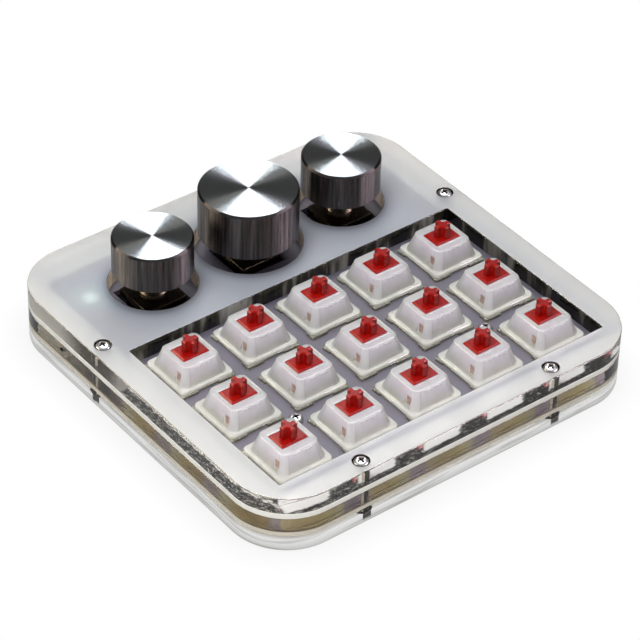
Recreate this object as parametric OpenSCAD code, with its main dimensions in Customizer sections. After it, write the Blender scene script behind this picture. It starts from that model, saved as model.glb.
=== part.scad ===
// Macro keypad: fifteen key switches and three turn-and-push knobs in a clear layered case.
// Units are mm. The origin is the centre of the underside, +X runs right, +Y to the back, +Z up.

/* [Case] */
// Width of the case, left to right
case_w = 111.5; // [111:0.5:125]
// Depth of the case, front to back
case_d = 109; // [108.5:0.5:120]
// Radius of the upright corners
corner_r = 15; // [8:0.5:18]
// Thickness of the bottom layer
bottom_h = 4.4; // [4:0.1:7]
// Thickness of the top layer
top_h = 4.5; // [3:0.1:5]
// Distance from a case screw to the edge of the case
screw_inset = 3.7; // [3.6:0.1:4.2]

/* [Keys] */
// How far a key goes down
key_travel = 4; // [3:0.1:4]
// Height of the keycap post above its slider
post_h = 3.6; // [3:0.1:4]
// Clear width around the block of switches, to the edge of the opening
opening_gap = 2.35; // [1.5:0.05:2.6]

/* [Knobs] */
// Diameter of the left and right knobs
side_knob_d = 20; // [14:0.5:21]
// Height of the left and right knobs
side_knob_h = 9.8; // [9:0.1:14]
// Gap under the left and right knobs
side_knob_gap = 4.2; // [2.8:0.1:5]
// Diameter of the centre knob
centre_knob_d = 25; // [18:0.5:26]
// Height of the centre knob
centre_knob_h = 12.8; // [9:0.1:16]
// Gap under the centre knob
centre_knob_gap = 3.2; // [2.8:0.1:5]
// How far a knob goes down when it is pushed
push_travel = 0.5; // [0.3:0.05:0.6]

/* [Hidden] */
$fn = 48;
SIDES = ["left", "center", "right"];
COLS = 5;
ROWS = 3;
KEYS = COLS * ROWS;

// heights of the layers
pcb_t = 1.6;
plate_t = 1.5;
seat_h = 5;                        // underside of a switch flange to the board
pcb_z = bottom_h;                  // underside of the circuit board, on the bottom layer
board_z = pcb_z + pcb_t;
plate_z = board_z + seat_h;        // top of the switch plate
frame_z = plate_z - plate_t;       // underside of the switch plate, top of the middle layer
face_z = plate_z + top_h;          // top of the case
floor_t = 1.6;

// keys
pitch = 19.05;
key_y = -17.4;                     // middle row
switch_w = 15.6;                   // flange of a switch
body_w = 13.9;
cutout_w = 14;
well_w = (COLS - 1) * pitch + switch_w + 2 * opening_gap;
well_d = (ROWS - 1) * pitch + switch_w + 2 * opening_gap;

// knobs
knob_y = key_y + 2.5 * pitch;
knob_pitch = 1.5 * pitch;
knob_clear = 1;                    // between a knob's side and its hole in the top plate
cover_z = board_z + 6.5;           // top of an encoder's square cover
bush_r = 3.45;
bush_z = face_z + 2;
shaft_r = 3;
knob_cap = 3.3;                    // metal over the end of the shaft
spindle_r = 1.8;

// board and its seat
pcb_w = 96.4;
pcb_d = 94.4;
pcb_r = 2.5;
seat_gap = 0.15;
plate_w = 96.6;
frame_in_w = 93.4;                 // inside of the middle frame, which laps board and plate
frame_in_d = 91.4;
pocket_w = 90;
pocket_d = 86;

// hardware
m2_r = 1;
m2_hole_r = 1.1;
head_r = 1.8;
head_h = 1.35;
sink_r = 2.1;
sink_h = 1;
nut_af = 4;
nut_h = 1.6;
nut_z = 0.4;
side_screw_y = 17.35;
front_screw_x = 28.3;
back_screw_x = 19.05;
standoff_r = 1.9;
standoff_screw_len = 3;

// inlet
usb_w = 8.94;
usb_h = 3.2;
usb_l = 7.35;
usb_y = case_d / 2 - 0.3;          // mouth of the inlet
tab_w = 12;
tab_y = usb_y - 0.5;

led_xy = [-44.2, 34.1];
pinhole_y = 29.4;
pinhole_z = board_z + 1.8;

KEY_XY = [
    for (row = [ROWS - 1 : -1 : 0]) for (col = [0 : COLS - 1])
        [(col - (COLS - 1) / 2) * pitch, key_y + (row - (ROWS - 1) / 2) * pitch]
];
KNOB_X = [-knob_pitch, 0, knob_pitch];
KNOB_D = [side_knob_d, centre_knob_d, side_knob_d];
KNOB_H = [side_knob_h, centre_knob_h, side_knob_h];
KNOB_Z = [face_z + side_knob_gap, face_z + centre_knob_gap, face_z + side_knob_gap];
CASE_SCREWS = [
    for (s = [-1, 1]) [s * (case_w / 2 - screw_inset), side_screw_y],
    for (s = [-1, 1]) [s * front_screw_x, -(case_d / 2 - screw_inset)],
    for (s = [-1, 1]) [s * back_screw_x, case_d / 2 - screw_inset]
];
PLATE_SCREWS = [
    for (s = [-1, 1]) [s * 1.5 * pitch, key_y - pitch / 2],
    for (s = [-1, 1]) [s * 0.75 * pitch, 40.6]
];

// ---------- shared shapes ----------

module rsquare(w, d, r) {
    square([w - 2 * r, d], center = true);
    square([w, d - 2 * r], center = true);
    for (x = [-1, 1], y = [-1, 1]) translate([x * (w / 2 - r), y * (d / 2 - r)]) circle(r);
}

module slab(w, d, r, z0, h) {
    translate([0, 0, z0]) linear_extrude(h) rsquare(w, d, r);
}

module block(w, d, z0, z1) {
    translate([-w / 2, -d / 2, z0]) cube([w, d, z1 - z0]);
}

module rod(r, z0, z1) {
    translate([0, 0, z0]) cylinder(r = r, h = z1 - z0);
}

// box whose four sides lean inwards, from size a = [x, y] at z0 to size b at z1
module leaning(a, b, z0, z1) {
    intersection() {
        wedge(a.x, b.x, a.y, z0, z1);
        rotate([0, 0, 90]) wedge(a.y, b.y, a.x, z0, z1);
    }
}

module wedge(w0, w1, depth, z0, z1) {
    translate([0, depth / 2 + 1, 0]) rotate([90, 0, 0]) linear_extrude(depth + 2)
        polygon([[-w0 / 2, z0], [w0 / 2, z0], [w1 / 2, z1], [-w1 / 2, z1]]);
}

module hexagon(af, z0, h) {
    translate([0, 0, z0]) cylinder(r = af / 2 / cos(30), h = h, $fn = 6);
}

// pan-head cross-recess screw, underside of the head at z0, shank down
module pan_screw(z0, length, r, h) {
    difference() {
        union() {
            rod(m2_r, z0 - length, z0 + h / 2);
            intersection() {
                rod(r, z0, z0 + h);
                translate([0, 0, z0 + h - 3.2]) sphere(3.2);
            }
        }
        for (a = [0, 90]) rotate([0, 0, a])
            translate([-r * 0.6, -0.27, z0 + h - 0.75]) cube([r * 1.2, 0.54, 1]);
    }
}

module at_keys() {
    for (p = KEY_XY) translate([p.x, p.y, 0]) children();
}

module at_knobs() {
    for (x = KNOB_X) translate([x, knob_y, 0]) children();
}

module at_list(list) {
    for (p = list) translate([p.x, p.y, 0]) children();
}

// ---------- case layers ----------

module bottom_plate() {
    color([0.93, 0.95, 0.96, 0.4]) difference() {
        slab(case_w, case_d, corner_r, 0, bottom_h);
        slab(pocket_w, pocket_d, pcb_r, floor_t, bottom_h);
        at_list(CASE_SCREWS) {
            rod(m2_hole_r, -1, bottom_h + 1);
            hexagon(nut_af + 0.2, -1, nut_z + nut_h + 1);
        }
    }
}

module board_ring() {
    color("wheat") difference() {
        slab(case_w, case_d, corner_r, pcb_z, pcb_t);
        slab(pcb_w + 2 * seat_gap, pcb_d + 2 * seat_gap, pcb_r, pcb_z - 1, pcb_t + 2);
        translate([-tab_w / 2 - seat_gap, 0, pcb_z - 1]) cube([tab_w + 2 * seat_gap, case_d, pcb_t + 2]);
        at_list(CASE_SCREWS) rod(m2_hole_r, pcb_z - 1, board_z + 1);
    }
}

module middle_frame() {
    color([0.93, 0.95, 0.96, 0.4]) difference() {
        slab(case_w, case_d, corner_r, board_z, frame_z - board_z);
        slab(frame_in_w, frame_in_d, pcb_r, board_z - 1, seat_h + 2);
        translate([-tab_w / 2 - 0.5, 0, board_z - 1]) cube([tab_w + 1, case_d, seat_h + 2]);
        at_list(CASE_SCREWS) rod(m2_hole_r, board_z - 1, plate_z + 1);
        translate([-case_w / 2 - 1, pinhole_y, pinhole_z]) rotate([0, 90, 0])
            cylinder(r = 0.7, h = (case_w - frame_in_w) / 2 + 2);
    }
}

module plate_ring() {
    color("ivory") difference() {
        slab(case_w, case_d, corner_r, frame_z, plate_t);
        slab(plate_w + 2 * seat_gap, pcb_d + 2 * seat_gap, pcb_r, frame_z - 1, plate_t + 2);
        at_list(CASE_SCREWS) rod(m2_hole_r, frame_z - 1, plate_z + 1);
    }
}

module top_plate() {
    color([0.95, 0.96, 0.97, 0.6]) difference() {
        slab(case_w, case_d, corner_r, plate_z, top_h);
        translate([0, key_y, 0]) block(well_w, well_d, plate_z - 1, face_z + 1);
        for (i = [0 : 2]) translate([KNOB_X[i], knob_y, 0])
            rod(KNOB_D[i] / 2 + knob_clear, plate_z - 1, face_z + 1);
        at_list(CASE_SCREWS) {
            rod(m2_hole_r, plate_z - 1, face_z + 1);
            rod(sink_r, face_z - sink_h, face_z + 1);
        }
        for (i = [2, 3]) at_list([PLATE_SCREWS[i]]) rod(head_r + 0.6, plate_z - 1, plate_z + head_h + 0.35);
    }
}

module switch_plate() {
    color("dimgray") difference() {
        slab(plate_w, pcb_d, pcb_r, frame_z, plate_t);
        at_keys() block(cutout_w, cutout_w, frame_z - 1, plate_z + 1);
        at_knobs() block(cutout_w, cutout_w, frame_z - 1, plate_z + 1);
        at_list(PLATE_SCREWS) rod(m2_hole_r, frame_z - 1, plate_z + 1);
        at_list([led_xy]) rod(1.5, frame_z - 1, plate_z + 1);
    }
}

// ---------- circuit board ----------

pin_a = [-3.81, 2.54];
pin_b = [2.54, 5.08];
sleeve_r = 1.45;
contact_r = 0.75;
locator_r = 1.95;
lead_r = 0.5;
LEADS = [
    for (x = [-2.5, 0, 2.5]) [x, -7.4],
    for (x = [-2.5, 2.5]) [x, 7.1]
];

module pcb() {
    color("darkolivegreen") difference() {
        union() {
            slab(pcb_w, pcb_d, pcb_r, pcb_z, pcb_t);
            translate([-tab_w / 2, 0, pcb_z]) cube([tab_w, tab_y, pcb_t]);
        }
        at_keys() {
            rod(locator_r + 0.1, pcb_z - 1, board_z + 1);
            at_list([pin_a, pin_b]) rod(sleeve_r + 0.05, pcb_z - 1, board_z + 1);
        }
        at_knobs() at_list(LEADS) rod(lead_r + 0.1, pcb_z - 1, board_z + 1);
        at_list(PLATE_SCREWS) rod(m2_hole_r, pcb_z - 1, board_z + 1);
    }
}

module hotswap_sockets() {
    h = 1.75;
    color("#262626") at_keys() difference() {
        union() {
            translate([-6.4, 0.4, pcb_z - h]) cube([6.6, 4.3, h]);
            translate([-1.2, 2.9, pcb_z - h]) cube([6.4, 4.4, h]);
            at_list([pin_a, pin_b]) rod(sleeve_r, pcb_z - h, board_z - 0.1);
        }
        at_list([pin_a, pin_b]) rod(contact_r + 0.05, pcb_z - h - 1, board_z + 1);
        rod(locator_r + 0.25, pcb_z - h - 1, pcb_z + 1);
    }
}

module board_chips() {
    color("#303030") at_keys() translate([-5, -4.2, 0]) {
        block(2.7, 1.6, pcb_z - 1.1, pcb_z - 0.1);
        block(3.7, 0.6, pcb_z - 0.25, pcb_z);
    }
    color("#202020") translate([0, 16.2, 0]) {
        block(7, 7, pcb_z - 1.1, pcb_z - 0.1);
        for (a = [0 : 90 : 270]) rotate([0, 0, a]) for (k = [-3.5 : 3.5])
            translate([k * 0.8 - 0.18, 3.4, pcb_z - 0.6]) cube([0.36, 1.1, 0.6]);
    }
}

module status_led() {
    color("paleturquoise") at_list([led_xy]) {
        block(3.2, 1.6, board_z, board_z + 0.5);
        rod(0.7, board_z + 0.4, board_z + 1.1);
    }
}

module usb_socket() {
    y0 = usb_y - usb_l;
    mid = board_z + usb_h / 2;
    color("silver") translate([0, usb_y, mid]) rotate([90, 0, 0]) {
        difference() {
            linear_extrude(usb_l) rsquare(usb_w, usb_h, 1.55);
            translate([0, 0, -1]) linear_extrude(usb_l) rsquare(usb_w - 0.6, usb_h - 0.6, 1.25);
        }
        translate([-3.3, -0.35, 0.8]) cube([6.6, 0.7, usb_l - 1]);
    }
}

// ---------- key switches ----------

flange_h = 1;
slider_w = 7.3;
slider_d = 5.4;
roof_z = plate_z + 6.6;
ceiling_z = plate_z + 5.4;
switch_well_z = plate_z - 2.2;
slider_z = switch_well_z + 0.4 + key_travel;    // underside of a slider at rest
spring_z = plate_z - 4;                         // seat of a spring
pin_tip_z = slider_z - 4;
locator_z = plate_z - 8.3;

module switch_bottom_housings() {
    color("#e9e4e2") at_keys() difference() {
        union() {
            slab(body_w, body_w, 0.6, board_z, seat_h + flange_h);
            slab(switch_w, switch_w, 1.3, plate_z + 0.5, 0.5);
            for (x = [-1, 1], y = [-1, 1]) intersection() {
                slab(switch_w, switch_w, 1.3, plate_z, 0.6);
                translate([x * 6.4, y * 5.9, 0]) block(4.4, 4, plate_z, plate_z + 0.6);
            }
            for (s = [-1, 1]) translate([s * 7, 0, 0]) block(1, 12, plate_z, plate_z + 0.6);
            rod(locator_r, locator_z, board_z + 1);
        }
        translate([-5.5, -4.5, switch_well_z]) cube([11, 10.4, 4]);
        rod(2.7, spring_z, plate_z);
        at_list([pin_a, pin_b]) block(1.7, 1.7, board_z - 1, plate_z);
        rod(1.1, plate_z - 6.9, plate_z);
    }
    color("#e9e4e2") at_keys() difference() {
        rod(1.65, spring_z - 0.2, switch_well_z + 0.1);
        rod(1.1, spring_z - 1, plate_z);
    }
}

module switch_top_housings() {
    rim_z = plate_z + flange_h;
    color("#f2eff0") at_keys() difference() {
        union() {
            slab(15, 15, 1.2, rim_z, 0.9);
            intersection() {
                leaning([13.3, 13.3], [10.1, 10.1], rim_z + 0.5, roof_z);
                slab(13.3, 13.3, 2.2, rim_z, 6);
            }
        }
        intersection() {
            leaning([11.8, 11.8], [8.8, 8.8], rim_z - 0.5, ceiling_z);
            slab(11.4, 11.4, 1.6, rim_z - 1, 8);
        }
        block(slider_w + 0.25, slider_d + 0.25, rim_z, roof_z + 1);
        for (x = [-1, 1], y = [-1, 1]) translate([x * 5.4, y * 3.9, 0])
            block(3, 1.1, plate_z + 2.6, plate_z + 4.6);
    }
}

module switch_contacts() {
    color("#c9a45a") at_keys() for (p = [[pin_a, 0.65], [pin_b, -0.65]])
        translate([p[0].x, p[0].y, 0]) {
            rod(contact_r, locator_z, board_z + 0.5);
            block(1.6, 1.6, board_z + 0.1, switch_well_z + 0.1);
            translate([0, p[1], 0]) block(1.6, 0.3, switch_well_z, plate_z + 0.8);
        }
}

module stem(i) {
    p = KEY_XY[i - 1];
    color("#b01218") translate([p.x, p.y, 0]) {
        block(slider_w, slider_d, slider_z, roof_z);
        leaning([slider_w, slider_d], [slider_w - 0.7, slider_d - 0.7], roof_z, roof_z + 0.35);
        block(8.2, 3, slider_z, ceiling_z - 0.1);
        block(4, 1.3, roof_z - 0.5, roof_z + post_h);
        block(1.2, 4, roof_z - 0.5, roof_z + post_h);
        rod(1, pin_tip_z, slider_z + 0.5);
    }
}

// coil of square-section wire: the rings follow a rising circle
function ring(i, n, turns, r, w, h) = let (
    t = i / n,
    a = 360 * turns * t,
    z = w + (h - 2 * w) * t
) [for (k = [0 : 3]) let (b = 45 + 90 * k) [
    (r + w * cos(b)) * cos(a),
    (r + w * cos(b)) * sin(a),
    z + w * sin(b)
]];

module coil(turns, r, w, h, rings) {
    pts = [for (i = [0 : rings]) each ring(i, rings, turns, r, w, h)];
    sides = [
        for (i = [0 : rings - 1]) for (k = [0 : 3]) each [
            [4 * i + k, 4 * i + (k + 1) % 4, 4 * i + 4 + (k + 1) % 4],
            [4 * i + k, 4 * i + 4 + (k + 1) % 4, 4 * i + 4 + k]
        ]
    ];
    ends = [[0, 3, 2], [0, 2, 1], [4 * rings, 4 * rings + 1, 4 * rings + 2], [4 * rings, 4 * rings + 2, 4 * rings + 3]];
    polyhedron(points = pts, faces = concat(sides, ends), convexity = 10);
}

module spring(i) {
    p = KEY_XY[i - 1];
    color("silver") translate([p.x, p.y, spring_z + 0.02])
        coil(6, 2.08, 0.2, slider_z - spring_z - 0.06, 48);
}

// ---------- knob encoders ----------

encoder_w = 11.8;
cover_t = 2.1;
well_r = 4.9;
rotor_r = 4.7;
rotor_z = board_z + 1.5;
rotor_top = cover_z - cover_t - 0.2;
rotor_hub_r = 2.6;
shoulder_z = rotor_top + 0.6 + push_travel + 0.1;    // underside of a shaft's thick part at rest
dome_h = 0.35;

module d_rod(r, flat, z0, z1) {
    intersection() {
        rod(r, z0, z1);
        translate([-r - 1, -r - 1, z0]) cube([2 * r + 2, r + 1 + flat, z1 - z0]);
    }
}

module encoder_bodies() {
    color("#1d1d1f") at_knobs() difference() {
        union() {
            block(encoder_w, encoder_w, board_z, cover_z - cover_t);
            for (p = LEADS) translate([p.x, sign(p.y) * 6.4, 0])
                block(0.8, 2.8, board_z, board_z + 0.8);
            at_list(LEADS) rod(lead_r, pcb_z - 0.8, board_z + 0.8);
        }
        rod(well_r, board_z + 1.3, cover_z);
        rod(3, board_z - 1, board_z + dome_h + 0.1);
        rod(1.2, board_z, cover_z);
    }
}

module encoder_covers() {
    color("#2b2b2e") at_knobs() difference() {
        union() {
            block(encoder_w, encoder_w, cover_z - cover_t, cover_z);
            for (s = [-1, 1]) translate([s * (encoder_w / 2 + 0.2), 0, 0])
                block(0.4, 5, board_z, cover_z);
            rod(bush_r, cover_z - 0.5, bush_z);
        }
        rod(shaft_r + 0.08, shoulder_z - push_travel - 0.05, bush_z + 1);
        rod(rotor_hub_r + 0.15, cover_z - cover_t - 1, cover_z);
    }
}

module encoder_domes() {
    color("gold") at_knobs() translate([0, 0, board_z]) cylinder(r1 = 2.8, r2 = 1.3, h = dome_h);
}

module encoder_rotor(i) {
    color("#e8e0c8") translate([KNOB_X[i], knob_y, 0]) difference() {
        union() {
            rod(rotor_r, rotor_z, rotor_top);
            rod(rotor_hub_r, rotor_z, rotor_top + 0.6);
        }
        d_rod(spindle_r + 0.06, 1.26, rotor_z - 1, cover_z);
    }
}

module encoder_shaft(i) {
    knob_z = KNOB_Z[i];
    tip_z = board_z + dome_h + push_travel + 0.05;
    color("#9a9a9e") translate([KNOB_X[i], knob_y, 0]) {
        rod(shaft_r, shoulder_z, knob_z);
        d_rod(shaft_r, 1.5, knob_z - 1, knob_z + KNOB_H[i] - knob_cap);
        d_rod(spindle_r, 1.2, rotor_z + push_travel, shoulder_z + 0.5);
        rod(1, tip_z, rotor_z + push_travel + 0.5);
    }
}

module knob(i) {
    edge = 0.4;
    r = KNOB_D[i] / 2;
    z0 = KNOB_Z[i];
    z1 = z0 + KNOB_H[i];
    color("#b9b4b0") translate([KNOB_X[i], knob_y, 0]) difference() {
        union() {
            rod(r, z0 + edge, z1 - edge);
            translate([0, 0, z0]) cylinder(r1 = r - edge, r2 = r, h = edge);
            translate([0, 0, z1 - edge]) cylinder(r1 = r, r2 = r - edge, h = edge);
        }
        d_rod(shaft_r + 0.03, 1.53, z0 - 1, z1 - knob_cap + 0.1);
    }
}

// ---------- fasteners ----------

module case_screws() {
    color("silver") at_list(CASE_SCREWS)
        pan_screw(face_z - sink_h, face_z - sink_h - nut_z - 0.1, head_r, head_h);
}

module case_nuts() {
    color("silver") at_list(CASE_SCREWS) difference() {
        hexagon(nut_af, nut_z, nut_h);
        rod(m2_r + 0.03, nut_z - 1, nut_z + nut_h + 1);
    }
}

// the same screw from above, through the plate, and from below, through the board
module standoff_screws() {
    color("silver") at_list(PLATE_SCREWS) {
        pan_screw(plate_z, standoff_screw_len, head_r, head_h);
        translate([0, 0, pcb_z]) rotate([180, 0, 0]) pan_screw(0, standoff_screw_len, head_r, head_h);
    }
}

module standoffs() {
    color("#b98b3d") at_list(PLATE_SCREWS) difference() {
        rod(standoff_r, board_z, frame_z);
        rod(m2_r + 0.03, board_z - 1, plate_z);
    }
}

for (i = [1 : KEYS]) stem(i);
for (i = [1 : KEYS]) spring(i);
for (i = [0 : 2]) encoder_rotor(i);
for (i = [0 : 2]) encoder_shaft(i);
for (i = [0 : 2]) knob(i);
encoder_bodies();
encoder_covers();
encoder_domes();
top_plate();
plate_ring();
middle_frame();
board_ring();
bottom_plate();
switch_plate();
pcb();
switch_top_housings();
switch_bottom_housings();
switch_contacts();
hotswap_sockets();
board_chips();
status_led();
usb_socket();
case_screws();
case_nuts();
standoff_screws();
standoffs();
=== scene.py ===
# Macro keypad with knobs: the visual model and its stage, in the frame of the CAD.
import math

import bmesh
import bpy
from mathutils import Matrix, Vector


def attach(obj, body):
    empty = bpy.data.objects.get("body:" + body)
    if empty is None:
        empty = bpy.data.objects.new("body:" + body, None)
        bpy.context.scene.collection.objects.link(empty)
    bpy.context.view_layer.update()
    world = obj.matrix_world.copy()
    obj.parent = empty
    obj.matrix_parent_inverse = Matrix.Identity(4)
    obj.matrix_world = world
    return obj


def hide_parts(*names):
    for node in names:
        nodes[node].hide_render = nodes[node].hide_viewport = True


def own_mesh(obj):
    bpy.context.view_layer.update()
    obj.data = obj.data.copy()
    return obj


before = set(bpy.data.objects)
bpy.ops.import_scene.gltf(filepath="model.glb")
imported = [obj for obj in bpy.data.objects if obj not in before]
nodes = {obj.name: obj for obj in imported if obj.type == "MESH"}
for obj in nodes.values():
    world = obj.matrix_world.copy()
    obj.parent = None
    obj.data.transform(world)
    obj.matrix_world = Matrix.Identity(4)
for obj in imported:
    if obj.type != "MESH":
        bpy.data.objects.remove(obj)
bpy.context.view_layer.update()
scene = bpy.context.scene

# ---------- sizes, in mm, as in the part's source ----------

CASE_W, CASE_D, CORNER_R = 111.5, 109.0, 15.0
PCB_Z, BOARD_Z, FRAME_Z, PLATE_Z, FACE_Z = 4.4, 6.0, 9.5, 11.0, 15.5    # tops of the five layers
FLOOR_T = 1.6
POCKET_W, POCKET_D = 90.0, 86.0
INNER_R = 2.5                    # inside corners of the layers
HOLE_R = 1.1                     # case screw holes
SINK_R, SINK = 2.1, 1.0          # radius and depth of the holes that take their heads
SEAM = 0.03                      # air between two layers
PITCH, KEY_Y = 19.05, -17.4
KNOB_Y, KNOB_PITCH = 30.225, 28.575
WELL_W, WELL_D = 96.5, 58.4
SIDES = ("left", "center", "right")
KNOB_X = (-KNOB_PITCH, 0.0, KNOB_PITCH)
KNOB_R = (10.0, 12.5, 10.0)
KNOB_Z0 = (19.7, 18.7, 19.7)     # undersides of the knobs, then their tops
KNOB_Z1 = (29.5, 31.5, 29.5)
KNOB_GAP = 1.0                   # between a knob and its hole
KEYS = [((c - 2) * PITCH, KEY_Y + (1 - r) * PITCH) for r in range(3) for c in range(5)]
CASE_SCREWS = [(s * x, y) for x, y in ((52.05, 17.35), (28.3, -50.8), (19.05, 50.8)) for s in (-1, 1)]
PLATE_SCREWS = [(s * x, y) for x, y in ((28.575, -26.925), (14.2875, 40.6)) for s in (-1, 1)]
FLANGE_Z = 12.0                  # where a switch's two housings meet
ROOF_Z, CEILING_Z, SLIDER_Z, SPRING_Z = 17.6, 16.4, 13.2, 7.0
GLOW_AT = (-44.2, 34.1, FACE_Z)  # the status light's spot on the face

# ---------- steps in round outlines ----------

CIRCLE_N, ROUND_N, CORNER_N = 48, 8, 24    # a circle, a small quarter turn, and a corner of the case
EDGE_N = 3                                 # a rounded edge
SHARP = 35                                 # degrees from which an edge stays sharp

# ---------- outlines ----------


def rounded(w, d, r, cx=0.0, cy=0.0, n=ROUND_N):
    """Rounded rectangle, counter-clockwise."""
    pts = []
    for sx, sy, start in ((1, 1, 0), (-1, 1, 90), (-1, -1, 180), (1, -1, 270)):
        for k in range(n + 1):
            a = math.radians(start + 90 * k / n)
            pts.append((cx + sx * (w / 2 - r) + r * math.cos(a), cy + sy * (d / 2 - r) + r * math.sin(a)))
    return pts


def circle(r, cx=0.0, cy=0.0, n=CIRCLE_N):
    turns = [2 * math.pi * k / n for k in range(n)]
    return [(cx + r * math.cos(a), cy + r * math.sin(a)) for a in turns]


def hexagon(af, cx, cy):
    """Hexagon with points spread along its sides, in step with circle()."""
    pts = []
    for k in range(CIRCLE_N):
        a = 2 * math.pi * k / CIRCLE_N
        local = (a % (math.pi / 3)) - math.pi / 6
        r = af / 2 / math.cos(local)
        pts.append((cx + r * math.cos(a), cy + r * math.sin(a)))
    return pts


def shift(pts, d):
    """The outline moved inwards by d (outwards where d is below 0)."""
    if abs(d) < 1e-9:
        return list(pts)
    out = []
    for i, (bx, by) in enumerate(pts):
        ax, ay = pts[i - 1]
        cx, cy = pts[(i + 1) % len(pts)]
        e1 = Vector((bx - ax, by - ay)).normalized()
        e2 = Vector((cx - bx, cy - by)).normalized()
        n1, n2 = Vector((-e1.y, e1.x)), Vector((-e2.y, e2.x))
        k = d / (1 + n1.dot(n2))
        out.append((bx + (n1.x + n2.x) * k, by + (n1.y + n2.y) * k))
    return out


def wall(pts, z0, z1, low=0.0, high=0.0, hole=False):
    """Rings of an upright wall, with a rounded edge of radius low at z0 and high at z1."""
    s = -1 if hole else 1
    rings = []
    for k in range(EDGE_N if low else 0):
        t = math.radians(90 * k / EDGE_N)
        rings.append((shift(pts, s * low * (1 - math.sin(t))), z0 + low * (1 - math.cos(t))))
    rings.append((pts, z0 + low))
    rings.append((pts, z1 - high))
    for k in range(1, EDGE_N + 1 if high else 0):
        t = math.radians(90 * k / EDGE_N)
        rings.append((shift(pts, s * high * (1 - math.cos(t))), z1 - high + high * math.sin(t)))
    return rings


def section(w, d, r, z, cx=0.0, cy=0.0):
    """Ring of a rounded rectangle at height z."""
    return rounded(w, d, r, cx, cy), z


# ---------- meshes ----------


def bridge(bm, a, b):
    """A band of faces between two rings of vertices."""
    for i in range(len(a)):
        j = (i + 1) % len(a)
        bm.faces.new((a[i], a[j], b[j], b[i])).smooth = True


def tube(bm, rings):
    """A skin through rings of (points, height)."""
    made = [[bm.verts.new((x, y, z)) for x, y in pts] for pts, z in rings]
    for a, b in zip(made, made[1:]):
        bridge(bm, a, b)
    return made[0], made[-1]


def cap(bm, rings, index=0):
    """A flat face with rings as its outline and holes."""
    edges = [bm.edges.get((r[i - 1], r[i])) for r in rings for i in range(len(r))]
    for g in bmesh.ops.triangle_fill(bm, use_beauty=True, edges=edges)["geom"]:
        if isinstance(g, bmesh.types.BMFace):
            g.smooth = False
            g.material_index = index


def plate(through, from_top=(), from_bottom=(), top_index=0):
    """A flat solid. through lists the rings of its outer wall and of each hole; from_top and from_bottom
    list those of each blind pocket, from its floor to its mouth."""
    bm = bmesh.new()
    ends = [tube(bm, t) for t in through]
    top = [e[1] for e in ends]
    bottom = [e[0] for e in ends]
    for rings in from_top:
        floor, mouth = tube(bm, rings)
        cap(bm, [floor])
        top.append(mouth)
    for rings in from_bottom:
        floor, mouth = tube(bm, rings)
        cap(bm, [floor])
        bottom.append(mouth)
    cap(bm, top, top_index)
    cap(bm, bottom)
    bmesh.ops.recalc_face_normals(bm, faces=bm.faces)
    return bm


def lathe(profile, n=96):
    """Turned solid. The profile runs from one point on the axis to another."""
    bm = bmesh.new()
    rings = []
    for r, z in profile:
        if r < 1e-6:
            rings.append([bm.verts.new((0, 0, z))])
        else:
            rings.append([bm.verts.new((x, y, z)) for x, y in circle(r, n=n)])
    for a, b in zip(rings, rings[1:]):
        for i in range(n):
            j = (i + 1) % n
            corners = [a[i % len(a)], a[j % len(a)], b[j % len(b)], b[i % len(b)]]
            bm.faces.new(list(dict.fromkeys(corners))).smooth = True
    bmesh.ops.recalc_face_normals(bm, faces=bm.faces)
    return bm


def loop_solid(sections):
    """Solid whose skin passes through rounded rectangles (w, d, r, z) and back to the first one."""
    bm = bmesh.new()
    first, last = tube(bm, [section(*s) for s in sections])
    bridge(bm, last, first)
    bmesh.ops.recalc_face_normals(bm, faces=bm.faces)
    return bm


def bar(w, d, z0, z1, r=0.15, edge=0.1, cx=0.0, cy=0.0):
    return plate([wall(rounded(w, d, r, cx, cy, 3), z0, z1, edge, edge)])


def rod(r, z0, z1, edge=0.1, n=32):
    return plate([wall(circle(r, n=n), z0, z1, edge, edge)])


def to_mesh(bm):
    me = bpy.data.meshes.new("work")
    bm.to_mesh(me)
    bm.free()
    return me


def evaluated(ob):
    """The mesh of ob with its modifiers applied."""
    bpy.context.view_layer.update()
    return bpy.data.meshes.new_from_object(ob.evaluated_get(bpy.context.evaluated_depsgraph_get()))


def combine(base, *steps):
    """base with each (operation, bmesh) applied in turn: UNION or DIFFERENCE."""
    me = to_mesh(base)
    for operation, bm in steps:
        ob = bpy.data.objects.new("work", me)
        tool = bpy.data.objects.new("tool", to_mesh(bm))
        for o in (ob, tool):
            scene.collection.objects.link(o)
        mod = ob.modifiers.new("cut", "BOOLEAN")
        mod.operation = operation
        mod.solver = "EXACT"
        mod.object = tool
        me = evaluated(ob)
        bpy.data.objects.remove(ob)
        bpy.data.objects.remove(tool)
    bm = bmesh.new()
    bm.from_mesh(me)
    bmesh.ops.remove_doubles(bm, verts=bm.verts, dist=0.002)
    bmesh.ops.dissolve_degenerate(bm, edges=bm.edges, dist=0.001)
    return bm


def copies(bm, places):
    """One bmesh holding bm once at each (x, y) or (x, y, matrix)."""
    me = to_mesh(bm)
    out = bmesh.new()
    for p in places:
        before = len(out.verts)
        out.from_mesh(me)
        out.verts.ensure_lookup_table()
        new = out.verts[before:]
        if len(p) > 2:
            bmesh.ops.transform(out, matrix=p[2], verts=new)
        bmesh.ops.translate(out, vec=(p[0], p[1], 0), verts=new)
    return out


def mark(bm, index, test):
    """Gives material slot index to each face whose centre and normal pass the test."""
    bm.normal_update()
    for f in bm.faces:
        if test(f.calc_center_median(), f.normal):
            f.material_index = index
    return bm


def flatten(ob):
    """Gives big flat faces their own normals again where they meet a rounded edge."""
    mod = ob.modifiers.new("normals", "WEIGHTED_NORMAL")
    mod.keep_sharp = True
    mod.weight = 100
    old = ob.data
    me = evaluated(ob)
    ob.modifiers.clear()
    ob.data = me
    bpy.data.meshes.remove(old)
    me.name = ob.name


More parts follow.
